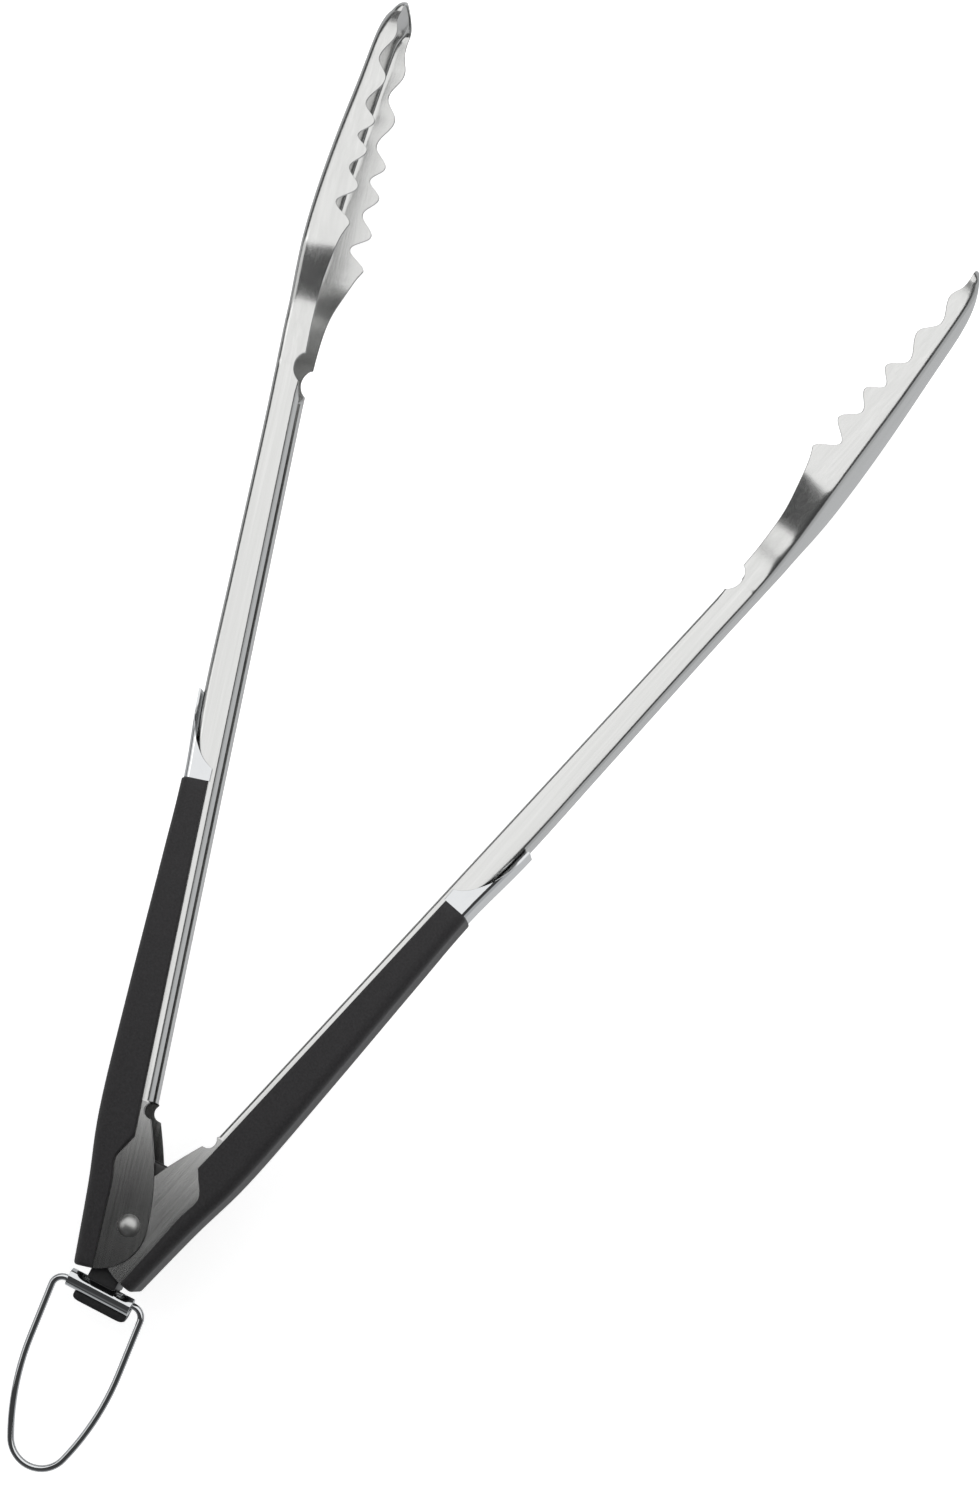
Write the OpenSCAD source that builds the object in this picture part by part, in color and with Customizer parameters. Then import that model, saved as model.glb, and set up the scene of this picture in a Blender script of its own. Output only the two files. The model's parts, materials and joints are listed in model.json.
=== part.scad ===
// Spring loaded kitchen tongs: two sheet steel arms on one rivet, opened by a torsion spring,
// with soft grips, a pull-tab lock and a wire bail to hang them by.
// Frame: +Y runs along the line halfway between the arms, towards the tips; +Z is the pivot axis;
// +X is towards the inner arm. The tongs lie flat, open. Origin: middle of the bottom of the box.
// Each arm is drawn in its own terms: u along the line where its teeth meet the other arm's,
// v away from the other arm, both counted from the pivot.

/* [Arms] */
// Distance from the pivot to the tip of an arm
arm_reach = 394.5; // [370:1:480]
// Angle of each open arm to the centre line
open_angle = 14.65; // [10:0.05:18]
// Width of the outer arm across its two flanges
arm_w = 22.5; // [20:0.5:30]
// Thickness of the steel sheet
sheet = 0.9; // [0.7:0.1:1.2]
// How far the arm runs behind the pivot
heel = 14.7; // [13:0.1:18]
// Distance of the spine from the closing line at the heel
heel_spine = 12; // [11:0.1:14]
// Distance of the spine from the closing line in the middle of the arm
mid_spine = 15.1; // [14:0.1:18]
// Distance of the folded edge from the closing line where the lips start
fold_rear = 2.4; // [2:0.1:4]
// Distance of the folded edge from the closing line where the lips end
fold_front = 7.1; // [6:0.1:8.5]
// Width of each folded lip
lip_w = 8.5; // [5:0.5:9]
// Where the lips start, ahead of the pivot
lip_start = 38; // [36:1:44]
// Length of the head, from the end of the lips to the tip
head_len = 128.5; // [110:1:140]

/* [Head] */
// Greatest width of the scoop head
head_w = 54; // [40:1:60]
// Distance from the tip to the heel corner of the toothed edge
tooth_run = 80.2; // [74:0.1:86]
// Depth of the rearmost gullet between teeth
gullet = 5.9; // [3:0.1:6.5]
// Radius of the relief notch where the lips end
notch_r = 5.6; // [4:0.1:6]
// Radius of the relief notch where the lips start
rear_notch_r = 2.6; // [1.5:0.1:3]

/* [Pivot] */
// Diameter of the rivet's shank
rivet_d = 4; // [3:0.1:5]
// Diameter of the rivet's heads
rivet_head_d = 7; // [6:0.1:9]
// Height of the rivet's domed heads
rivet_head_h = 2.1; // [1.5:0.1:3]
// How far the cheeks reach past the pivot, towards the other arm
cheek_in = 5.8; // [5:0.1:6.5]
// Wall of the spacer sleeve on the rivet
sleeve_wall = 0.9; // [0.6:0.1:1.2]
// Gap between an outer cheek and an inner cheek
cheek_gap = 0.15; // [0.1:0.05:0.3]
// Radial gap of a part that turns on the rivet
running_gap = 0.05; // [0.03:0.01:0.08]

/* [Grip] */
// Where the grips end, ahead of the pivot
grip_front = 137; // [120:1:150]
// Thickness of the rigid carrier
carrier_t = 0.8; // [0.6:0.1:1]
// Thickness of the rubber skin
skin_t = 1.2; // [1:0.1:1.6]
// Bare steel strip left between the fold and the grip
strip_w = 2.2; // [1.5:0.1:3]
// Where the grip's edge stands at the heel of the outer arm
outer_step = 8; // [7:0.1:9]
// Where the grip's edge stands at the heel of the inner arm
inner_step = 10; // [9.5:0.1:10.5]
// Length of the ferrule at the spine
ferrule_len = 28; // [22:1:34]
// Thickness of the ferrule's metal
ferrule_t = 0.7; // [0.5:0.1:0.9]

/* [Spring] */
// Diameter of the torsion spring's wire
spring_wire = 1.5; // [1:0.1:1.8]
// Number of turns
spring_turns = 4; // [3:1:5]
// Length of the spring's legs from the pivot
spring_leg = 32; // [25:1:35]
// Radial gap between the spring and the sleeve
spring_gap = 0.3; // [0.2:0.1:0.5]

/* [Lock] */
// Travel of the pull tab
lock_travel = 8; // [5:0.5:9]
// Thickness of the slider's plates
slider_t = 1.2; // [1:0.1:1.4]
// Width of the slider's rear part, between the heels
slider_w = 11.5; // [10.5:0.1:12.2]
// Width of the slider's front part
slider_front_w = 18; // [14:0.5:19]
// Where the slider's front edge stands, ahead of the pivot
slider_front = 20.3; // [18:0.1:22]
// Gap between a slider plate and the inner arm's cheek, and at the slot's sides
slider_gap = 0.2; // [0.15:0.05:0.4]
// Width of the pull tab's neck
neck_w = 9.4; // [7:0.1:10]
// Width of the pull tab's saddle and lip
saddle_w = 18; // [15:0.5:19]
// Diameter of the tab pin
tab_pin_d = 2; // [1.5:0.1:2.5]
// Distance of the tab pin behind the pivot
tab_pin_back = 12.4; // [11.5:0.1:13]

/* [Hanging bail] */
// Outer diameter of the hinge tube
tube_d = 5.7; // [5:0.1:6.5]
// Bore of the hinge tube
tube_bore = 3.9; // [3.8:0.1:4]
// Length of the hinge tube
tube_len = 21.4; // [20:0.1:24]
// Gap between the heels of the open arms and the tube
tube_gap = 1.7; // [1.2:0.1:3]
// Diameter of the bail's wire
wire_d = 2.1; // [1.6:0.1:2.2]
// Half width of the bail, to the middle of its wire
bail_half = 14.8; // [14:0.1:18]
// Length of the bail from the tube's axis to the middle of its wire
bail_len = 57.6; // [45:0.1:75]
// How far the slack in the tube lets the bail lean sideways
bail_lean = 4; // [0:0.5:4]
// How far the bail hangs below the level of its tube
bail_droop = 8.2; // [4:0.1:15]

/* [Hidden] */
$fn = 64;

steel = [0.78, 0.78, 0.77];
chrome = [0.88, 0.89, 0.9];
rubber = [0.17, 0.17, 0.18];
black = [0.07, 0.07, 0.07];

inner_w = arm_w - 2 * (sheet + cheek_gap);      // width of the nested inner arm
grip_t = carrier_t + skin_t;
lip_end = arm_reach - head_len;
notch_chord = 9.2;                              // length of the notch along the edge
notch_v = 3.9;                                  // where the notches' centres stand
rear_notch_v = 0.6;
rear_notch_back = 2.9;                          // the rear notch's centre, behind the lips
neck_end = lip_end + notch_chord;
tooth_start = arm_reach - tooth_run;
slider_z = inner_w / 2 - sheet - slider_gap;    // outer face of a slider plate
sleeve_r = rivet_d / 2 + running_gap + sleeve_wall;
sleeve_play = 0.1;                              // gap at each end of the sleeve
sleeve_h = inner_w - 2 * (sheet + sleeve_play);
slot_w = 2 * (sleeve_r + slider_gap);
spring_r = sleeve_r + spring_gap + spring_wire / 2;
bore_d = rivet_d + 2 * running_gap;
cut = 0.5;                                      // overshoot of a cutting tool
tall = head_w + 20;                             // taller than anything
deep = 120;                                     // deeper than any arm
heel_rear = heel * cos(open_angle) + (heel_spine + grip_t) * sin(open_angle);
tube_back = heel_rear + tube_gap + tube_d / 2;  // the tube's axis, behind the pivot
tab_front = 3.4 - tab_pin_back;                 // front face of the pull tab
plate_rear = -tab_pin_back - 2.8;               // rear end of the slider's plates
saddle_base = 5;                                // depth of the saddle below the tube's axis
saddle_flare = 1.6;                             // length over which the saddle widens
saddle_corner = 1.5;                            // bevel of the saddle's rear corners
shoulder = 0.6 - tube_back;                     // the saddle has its full width from here back
lip_wall = 2.8;                                 // wall of the tab behind the tube
lip_shift = 1.6;                                // the lip stands off centre by this much
lip_drop = 1;                                   // how far the lip's top lies below the tube's axis

// The pivot stands here so that the origin is the middle of the bottom of the box.
tip_y = arm_reach * cos(open_angle);
bail_y = -tube_back - bail_len * cos(bail_droop) - wire_d / 2;
pivot = [0, -(tip_y + bail_y) / 2, head_w / 2];

// A smooth line through hand-set points, step points to a stretch.
function catmull(a, b, c, d, t) = 0.5 * (2 * b + (c - a) * t + (2 * a - 5 * b + 4 * c - d) * t * t
                                         + (3 * b - a - 3 * c + d) * t * t * t);
function smooth_line(p, step = 5) = [
    for (i = [0 : len(p) - 2]) for (k = [0 : step - 1])
        catmull(p[max(i - 1, 0)], p[i], p[i + 1], p[min(i + 2, len(p) - 1)], k / step),
    p[len(p) - 1]];
function reversed(p) = [for (i = [len(p) - 1 : -1 : 0]) p[i]];
function shifted(p, dv) = [for (q = p) [q[0], q[1] + dv]];
function fold_v(u) = fold_rear + (fold_front - fold_rear) * (u - lip_start) / (lip_end - lip_start);

// The back of the arm, from its heel to its tip.
spine = smooth_line([
    [-heel, heel_spine], [10, heel_spine + 1.2], [33, mid_spine - 0.1], [70, mid_spine - 0.5],
    [grip_front - 25, mid_spine - 1.5], [grip_front, mid_spine - 1.9],
    [grip_front + ferrule_len, mid_spine - 0.3], [lip_end - 66, mid_spine],
    [lip_end - 16, mid_spine + 0.4], [lip_end + 10, mid_spine + 0.9],
    [lip_end + 25, mid_spine + 0.7], [lip_end + 44, mid_spine - 0.1],
    [lip_end + 74, mid_spine - 2.6], [lip_end + 99, mid_spine - 5.7],
    [arm_reach - 10, 6.6], [arm_reach - 4, 3.9], [arm_reach, 1.4]], 4);

// The inside of the back, which stops short of the tip.
cavity_end = arm_reach - 1.5;
cavity_back = [for (q = shifted(spine, -sheet)) if (q[0] < cavity_end - 0.5) q];

// Half the width of the arm, w at the handle, seen from its back.
nose = 5.5;                                     // length of the rounded nose of the head
nose_w = 0.28 * head_w;                         // half its width where it starts
function half_width(w) = concat([[-heel - 2 * cut, w / 2]], smooth_line([
    [lip_end - 32, w / 2], [lip_end, w / 2], [lip_end + 6, w / 2 + 0.5], [lip_end + 13, w / 2 + 1.6],
    [lip_end + 21, head_w * 0.274], [lip_end + 27, head_w * 0.32], [lip_end + 38, head_w * 0.437],
    [lip_end + 44, head_w * 0.482], [lip_end + 53, head_w / 2], [lip_end + 64, head_w * 0.488],
    [lip_end + 82, head_w * 0.438], [lip_end + 98, head_w * 0.385],
    [arm_reach - 15, head_w * 0.355], [arm_reach - nose, nose_w]], 4),
    [for (a = [12 : 12 : 84]) [arm_reach - nose * (1 - sin(a)), nose_w * cos(a)]]);

// The toothed edge: how far each peak stands from the first, and each gullet and its depth.
peaks = [0, 12.1, 24.5, 34.6, 49.8, 65.6];
gullets = [[6.5, gullet], [18.4, gullet - 1.6], [29.5, gullet - 1.7], [40.7, gullet - 1.6],
           [56.7, gullet - 2.2], [71.2, 1.2]];
tooth_steps = 6;
function wave(a, b, t) = [a[0] + (b[0] - a[0]) * t, a[1] + (b[1] - a[1]) * (1 - cos(180 * t)) / 2];
function tooth_line() = [for (i = [0 : len(peaks) - 1])
    let (peak = [tooth_start + peaks[i], 0.1],
         low = [tooth_start + gullets[i][0], gullets[i][1]],
         next = i < len(peaks) - 1 ? [tooth_start + peaks[i + 1], 0.1] : [arm_reach - 1.2, 0.2])
        for (k = [0 : 2 * tooth_steps - 1])
            k < tooth_steps ? wave(peak, low, k / tooth_steps) : wave(low, next, k / tooth_steps - 1)];

// The edge of the cheeks, lips and teeth, from the heel to the tip.
cheek_arc = [for (a = [180 : 6 : 264]) [heel * cos(a), heel - cheek_in + heel * sin(a)]];
cheek_line = smooth_line([[0, -cheek_in], [8, 0.3 - cheek_in], [16, 1.5 - cheek_in],
                          [24, 3.6 - cheek_in], [lip_start - 5.4, fold_rear - 1.8]]);
throat = smooth_line([[neck_end, fold_front - 0.4], [neck_end + 10, fold_front - 0.5],
                      [neck_end + 20, fold_front - 1.3], [neck_end + 29, fold_front - 3.3],
                      [tooth_start - 4, 2], [tooth_start, 0.1]]);
inner_edge = concat(cheek_arc, cheek_line, [[lip_start, fold_rear], [lip_end, fold_front]], throat,
                    tooth_line(), [[arm_reach, 0.4]]);

// Turns an outline in u and v into one in x and y, for the inner arm closed on the centre line.
function placed(p) = [for (q = p) [q[1], q[0]]];
module flat(p) { polygon(placed(p)); }

// Stands an arm's parts where the open arm is: side 1 is the inner arm's, side -1 the outer's.
module at_arm(side) {
    translate(pivot) mirror([side < 0 ? 1 : 0, 0, 0]) rotate([0, 0, -open_angle]) children();
}
// The outline of the arm seen from its back, as a block that runs across the arm.
module side_block(w, thin) {
    profile = [for (q = half_width(w)) [q[1] - thin, q[0]]];
    other = [for (q = reversed(profile)) [-q[0], q[1]]];
    rotate([0, 90, 0]) linear_extrude(height = deep, center = true) polygon(concat(profile, other));
}
module slab(h) { linear_extrude(height = h, center = true) children(); }

// One sheet steel arm: channel, lips and scoop head, w wide at the handle.
module arm(w, bore) {
    difference() {
        intersection() {
            slab(tall) flat(concat(inner_edge, reversed(spine)));
            side_block(w, 0);
        }
        intersection() {
            slab(tall) flat(concat([[-heel - cut, -30], [cavity_end, -30]],
                                   reversed(cavity_back), [[-heel - cut, heel_spine - sheet]]));
            side_block(w, sheet);
        }
        cylinder(d = bore, h = tall, center = true);
        translate([notch_v, (lip_end + neck_end) / 2, 0]) cylinder(r = notch_r, h = tall, center = true);
        translate([rear_notch_v, lip_start - rear_notch_back, 0])
            cylinder(r = rear_notch_r, h = tall, center = true);
    }
    for (s = [-1, 1]) translate([0, 0, s * (w - lip_w) / 2])
        slab(lip_w) flat([[lip_start, fold_rear], [lip_end, fold_front],
                          [lip_end, fold_front + sheet], [lip_start, fold_rear + sheet]]);
}
module outer_arm() { color(steel) at_arm(-1) arm(arm_w, rivet_d); }
module inner_arm() { color(steel) at_arm(1) arm(inner_w, bore_d); }

// The edge that a grip leaves open, with its step round the pivot.
function grip_edge(step_v) = [[-heel, step_v], [12, step_v], [18.5, step_v + 0.7],
    [21.5, step_v - 0.4], [27, fold_v(27) + strip_w + 0.2], [36, fold_v(36) + strip_w],
    [grip_front, fold_v(grip_front) + strip_w]];
handle_spine = [for (q = spine) if (q[0] < grip_front + ferrule_len + 40) q];
function back_at(u) = lookup(u, spine);

// A skin that wraps the back and both sides of a handle, from depth a to depth b.
module wrap(w, a, b, outline) {
    difference() {
        slab(w + 2 * b) intersection() {
            flat(outline);
            flat(concat([[-heel, -10]], [[300, -10]], reversed(shifted(handle_spine, b))));
        }
        slab(w + 2 * a) flat(concat([[-heel - cut, -20], [250, -20]],
                                    reversed(shifted(handle_spine, a)),
                                    [[-heel - cut, heel_spine + a]]));
    }
}
module grip_layer(w, a, b, step_v) {
    wrap(w, a, b, concat(grip_edge(step_v), [[grip_front, 40], [-heel, 40]]));
}
module outer_grip_carrier() { color(black) at_arm(-1) grip_layer(arm_w, 0, carrier_t, outer_step); }
module inner_grip_carrier() { color(black) at_arm(1) grip_layer(inner_w, 0, carrier_t, inner_step); }
module outer_grip() { color(rubber) at_arm(-1) grip_layer(arm_w, carrier_t, grip_t, outer_step); }
module inner_grip() { color(rubber) at_arm(1) grip_layer(inner_w, carrier_t, grip_t, inner_step); }

// Chrome ferrule: a short collar, then a hood that sweeps forward to a point on the spine.
hood = 0.6;                                     // gap between the hood and the steel
ferrule_edge = fold_v(grip_front) + strip_w - 0.6;
ferrule_tip = grip_front + ferrule_len;
sweep_long = ferrule_len - 4;
sweep_high = back_at(ferrule_tip) - ferrule_edge + 0.6;
sweep = [for (a = [14 : 8 : 86])
    [ferrule_tip + 1 - sweep_long * cos(a), ferrule_edge + sweep_high * (sin(a) - sin(14))]];
collar = 4;
module ferrule(w) {
    wrap(w, 0, hood + ferrule_t, [[grip_front, ferrule_edge], [grip_front + collar, ferrule_edge],
                                  [grip_front + collar, 40], [grip_front, 40]]);
    wrap(w, hood, hood + ferrule_t, concat([[grip_front + collar, ferrule_edge]], sweep,
                                           [[ferrule_tip, 40], [grip_front + collar, 40]]));
}
module outer_ferrule() { color(chrome) at_arm(-1) ferrule(arm_w); }
module inner_ferrule() { color(chrome) at_arm(1) ferrule(inner_w); }

module rivet_head() {
    ball = (pow(rivet_head_d / 2, 2) + pow(rivet_head_h, 2)) / (2 * rivet_head_h);
    intersection() {
        translate([0, 0, rivet_head_h - ball]) sphere(r = ball);
        cylinder(d = rivet_head_d + 1, h = rivet_head_h + 1);
    }
}
module pivot_rivet() {
    color(steel) translate(pivot) {
        cylinder(d = rivet_d, h = arm_w, center = true);
        for (s = [0, 1]) mirror([0, 0, s]) translate([0, 0, arm_w / 2]) rivet_head();
    }
}
module pivot_sleeve() {
    color(steel) translate(pivot) difference() {
        cylinder(r = sleeve_r, h = sleeve_h, center = true);
        cylinder(d = bore_d, h = sleeve_h + 1, center = true);
    }
}

// Torsion spring: the coil as a closed ring, with a leg that lies against each arm's back.
coil_h = spring_turns * spring_wire;
coil_wall = spring_wire + 0.1;                  // the ring covers the ends of both legs
leg_gap = 0.15;                                 // between the end of a leg and its arm
leg_end = [spring_leg, back_at(spring_leg) - sheet - spring_wire / 2 - leg_gap];
module spring_leg_rod() {
    reach = norm(leg_end);
    turn = atan2(leg_end[0], leg_end[1]) - acos(spring_r / reach);
    translate([spring_r * cos(turn), spring_r * sin(turn), (spring_wire - coil_h) / 2])
        rotate([0, 0, turn]) rotate([-90, 0, 0])
            cylinder(d = spring_wire, h = sqrt(reach * reach - spring_r * spring_r));
}
module torsion_spring() {
    color(steel) {
        translate(pivot) difference() {
            cylinder(r = spring_r + coil_wall / 2, h = coil_h + 0.1, center = true);
            cylinder(r = spring_r - coil_wall / 2, h = coil_h + 1, center = true);
        }
        at_arm(1) spring_leg_rod();
        at_arm(-1) mirror([0, 0, 1]) spring_leg_rod();
    }
}

module slot(length) {
    cylinder(d = slot_w, h = tall, center = true);
    translate([0, length, 0]) cylinder(d = slot_w, h = tall, center = true);
    translate([-slot_w / 2, 0, -tall / 2]) cube([slot_w, length, tall]);
}
slider_narrow = 8;                              // the plates are narrow up to here
slider_wide = 11;                               // and have their full width from here on
module lock_slider() {
    half = [[slider_w / 2, plate_rear], [slider_w / 2, slider_narrow],
            [slider_front_w / 2, slider_wide], [slider_front_w / 2, slider_front]];
    plate = concat(half, [for (q = reversed(half)) [-q[0], q[1]]]);
    color(black) translate(pivot) difference() {
        for (s = [-1, 1]) translate([0, 0, s * (slider_z - slider_t / 2)]) slab(slider_t) polygon(plate);
        slot(lock_travel);
        translate([0, -tab_pin_back, 0]) cylinder(d = tab_pin_d, h = tall, center = true);
    }
}
saddle_rear = tube_back + tube_d / 2 + lip_wall;
neck_rear = tube_d / 2 - 0.3 - tube_back;       // the neck reaches round the front of the tube
module saddle() {
    front = [[neck_w / 2, neck_rear + 1], [neck_w / 2, shoulder + saddle_flare]];
    rear = [[saddle_w / 2, shoulder], [saddle_w / 2, saddle_corner - saddle_rear],
            [saddle_w / 2 - saddle_corner, -saddle_rear]];
    polygon(concat(front, [for (q = rear) [q[0] + lip_shift, q[1]]],
                   [for (q = reversed(rear)) [lip_shift - q[0], q[1]]],
                   [for (q = reversed(front)) [-q[0], q[1]]]));
}
module pull_tab() {
    color(black) translate(pivot) difference() {
        union() {
            translate([0, (tab_front + neck_rear) / 2, 0])
                cube([neck_w, tab_front - neck_rear, 2 * (slider_z - slider_t)], center = true);
            translate([0, 0, -saddle_base])
                linear_extrude(height = saddle_base - lip_drop) saddle();
        }
        translate([0, -tube_back, 0]) rotate([0, 90, 0]) cylinder(d = tube_d, h = deep, center = true);
        translate([0, -tab_pin_back, 0]) cylinder(d = tab_pin_d, h = tall, center = true);
    }
}
module tab_pin() {
    color(steel) translate(pivot + [0, -tab_pin_back, 0])
        cylinder(d = tab_pin_d, h = 2 * slider_z, center = true);
}

module hinge_tube() {
    color(chrome) translate(pivot + [0, -tube_back, 0]) rotate([0, 90, 0]) difference() {
        cylinder(d = tube_d, h = tube_len, center = true);
        cylinder(d = tube_bore, h = tube_len + 1, center = true);
    }
}

// The bail: from inside the tube round a corner, down a straight leg, along a long curve and
// round the end, swept as one wire. Its middle line is worked out for one side and mirrored.
corner_r = 3.5;
end_r = 9.5;
long_turn = 22;
long_r = (bail_half - end_r * cos(long_turn)) / (1 - cos(long_turn));
leg_stop = bail_len - end_r + (end_r - long_r) * sin(long_turn);
function round_turn(c, r, from, to, n) = [for (k = [0 : n])
    let (a = from + (to - from) * k / n) [c[0] + r * cos(a), c[1] + r * sin(a)]];
bail_side = concat([[2.5, 0]], round_turn([bail_half - corner_r, -corner_r], corner_r, 90, 0, 5),
                   round_turn([bail_half - long_r, -leg_stop], long_r, 0, -long_turn, 4),
                   [for (q = round_turn([0, end_r - bail_len], end_r, -long_turn, -90, 5))
                       if (q[1] > -bail_len + 0.01 && q[0] < end_r * cos(long_turn) - 0.01) q]);
bail_line = concat(bail_side, [[0, -bail_len]], [for (q = reversed(bail_side)) [-q[0], q[1]]]);
wire_sides = 12;
module wire(line) {
    last = len(line) - 1;
    rings = [for (i = [0 : last])
        let (along = line[min(i + 1, last)] - line[max(i - 1, 0)],
             side = [along[1], -along[0]] / norm(along))
            for (k = [0 : wire_sides - 1])
                let (a = 360 * k / wire_sides, reach = wire_d / 2 * cos(a))
                    [line[i][0] + side[0] * reach, line[i][1] + side[1] * reach,
                     wire_d / 2 * sin(a)]];
    walls = [for (i = [0 : last - 1]) for (k = [0 : wire_sides - 1])
        let (n = (k + 1) % wire_sides, at = i * wire_sides)
            [at + k, at + n, at + wire_sides + n, at + wire_sides + k]];
    polyhedron(rings, concat(walls, [[for (k = [wire_sides - 1 : -1 : 0]) k],
        [for (k = [0 : wire_sides - 1]) last * wire_sides + k]]));
}
module hanging_bail() {
    color(chrome) translate(pivot + [0, -tube_back, 0]) rotate([bail_droop, 0, 0])
        rotate([0, 0, bail_lean]) wire(bail_line);
}

outer_arm();
inner_arm();
outer_grip_carrier();
inner_grip_carrier();
outer_grip();
inner_grip();
outer_ferrule();
inner_ferrule();
pivot_rivet();
pivot_sleeve();
torsion_spring();
lock_slider();
pull_tab();
tab_pin();
hinge_tube();
hanging_bail();
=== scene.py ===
"""Spring loaded kitchen tongs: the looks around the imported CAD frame.

Lengths in the tables below are millimetres. Each arm is drawn in its own terms, as in the CAD
source: u along the line where its teeth meet the other arm's, v away from the other arm, both
counted from the pivot, and z along the pivot axis. place() turns them into the row frame.
"""

import json
import math

import bmesh
import bpy
import numpy as np
from mathutils import Euler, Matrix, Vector


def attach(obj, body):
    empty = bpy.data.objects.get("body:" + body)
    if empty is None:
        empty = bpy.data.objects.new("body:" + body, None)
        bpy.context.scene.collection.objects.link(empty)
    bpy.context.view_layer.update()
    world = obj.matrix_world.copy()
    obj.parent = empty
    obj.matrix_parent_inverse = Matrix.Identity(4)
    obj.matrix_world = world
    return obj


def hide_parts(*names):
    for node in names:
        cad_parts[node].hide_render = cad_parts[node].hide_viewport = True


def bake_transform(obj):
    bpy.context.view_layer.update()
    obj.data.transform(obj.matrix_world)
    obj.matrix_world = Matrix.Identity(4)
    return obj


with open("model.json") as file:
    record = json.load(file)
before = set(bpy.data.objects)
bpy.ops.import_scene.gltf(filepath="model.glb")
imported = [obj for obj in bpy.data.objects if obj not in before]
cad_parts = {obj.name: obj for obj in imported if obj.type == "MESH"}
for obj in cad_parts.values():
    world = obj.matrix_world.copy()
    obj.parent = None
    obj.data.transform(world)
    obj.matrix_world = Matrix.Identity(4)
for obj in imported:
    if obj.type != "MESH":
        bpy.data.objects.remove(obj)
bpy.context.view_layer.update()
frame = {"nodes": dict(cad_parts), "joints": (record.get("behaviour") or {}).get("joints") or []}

JOINTS = {joint["name"]: joint for joint in frame["joints"]}
PIVOT = np.array(JOINTS["arm_hinge"]["pos_m"])
TUBE = np.array(JOINTS["bail_swing"]["pos_m"])
MM = 0.001

# Driving sizes, the same as the CAD source's.
OPEN_ANGLE = math.radians(14.65)
REACH = 394.5
OUTER_W = 22.5
CHEEK_GAP = 0.15
SHEET = 0.9
INNER_W = OUTER_W - 2 * (SHEET + CHEEK_GAP)
HEEL = 14.7
HEEL_SPINE = 12.0
MID_SPINE = 15.1
FOLD_REAR, FOLD_FRONT = 2.4, 7.1
LIP_W = 8.5
LIP_START, LIP_END = 38.0, REACH - 128.5
CHEEK_END, CHEEK_END_V = LIP_START - 5.4, FOLD_REAR - 1.8
HEAD_W = 54.0
TOOTH_START = REACH - 80.2
GULLET = 5.9
NOTCH_R, NOTCH_V, NOTCH_CHORD = 5.6, 3.9, 9.2
REAR_NOTCH_R, REAR_NOTCH_V, REAR_NOTCH_BACK = 2.6, 0.6, 2.9
CHEEK_IN = 5.8
GRIP_FRONT = 137.0
CARRIER_T, SKIN_T = 0.8, 1.2
GRIP_T = CARRIER_T + SKIN_T
STRIP_W = 2.2
OUTER_STEP, INNER_STEP = 8.0, 10.0
FERRULE_LEN, FERRULE_T, HOOD, COLLAR = 28.0, 0.7, 0.6, 4.0
RIVET_D, RIVET_HEAD_D, RIVET_HEAD_H = 4.0, 7.0, 2.1
RUNNING_GAP, SLEEVE_WALL = 0.05, 0.9
SLEEVE_R = RIVET_D / 2 + RUNNING_GAP + SLEEVE_WALL
SPRING_WIRE, SPRING_TURNS, SPRING_LEG = 1.5, 4, 32.0
SPRING_GAP, SPRING_LEG_GAP = 0.3, 0.15
SPRING_R = SLEEVE_R + SPRING_GAP + SPRING_WIRE / 2
SLIDER_T, SLIDER_W, SLIDER_FRONT_W, SLIDER_FRONT = 1.2, 11.5, 18.0, 20.3
SLIDER_GAP, SLIDER_REAR = 0.2, -15.2
SLIDER_NARROW, SLIDER_WIDE = 8.0, 11.0      # it widens between these, ahead of the pivot
SLIDER_Z = INNER_W / 2 - SHEET - SLIDER_GAP
LOCK_TRAVEL, TAB_PIN_BACK, TAB_FRONT = 8.0, 12.4, -9.0
NECK_W, SADDLE_W, LIP_WALL, LIP_SHIFT = 9.4, 18.0, 2.8, 1.6
SADDLE_BASE, SADDLE_FLARE, LIP_DROP = 5.0, 1.6, 1.0
TUBE_D, TUBE_BORE, TUBE_LEN = 5.7, 3.9, 21.4
TUBE_BACK = (PIVOT[1] - TUBE[1]) / MM
WIRE_D, BAIL_HALF, BAIL_LEN = 2.1, 14.8, 57.6
BAIL_LEAN, BAIL_DROOP = math.radians(4), math.radians(8.2)


# ---------------------------------------------------------------- curves

def smooth_line(points, step=6):
    """A Catmull-Rom line through given points."""
    p = np.array(points, float)
    out = []
    for i in range(len(p) - 1):
        a, b, c, d = p[max(i - 1, 0)], p[i], p[i + 1], p[min(i + 2, len(p) - 1)]
        for k in range(step):
            t = k / step
            out.append(0.5 * (2 * b + (c - a) * t + (2 * a - 5 * b + 4 * c - d) * t * t
                              + (3 * b - a - 3 * c + d) * t ** 3))
    out.append(p[-1])
    return np.array(out)


def table(points):
    """A function of u that runs through a line of [u, value] points."""
    line = np.array(points, float)
    return lambda u: float(np.interp(u, line[:, 0], line[:, 1]))


def fold_v(u):
    """Where the folded edge of an arm stands."""
    return FOLD_REAR + (FOLD_FRONT - FOLD_REAR) * (u - LIP_START) / (LIP_END - LIP_START)


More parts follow.
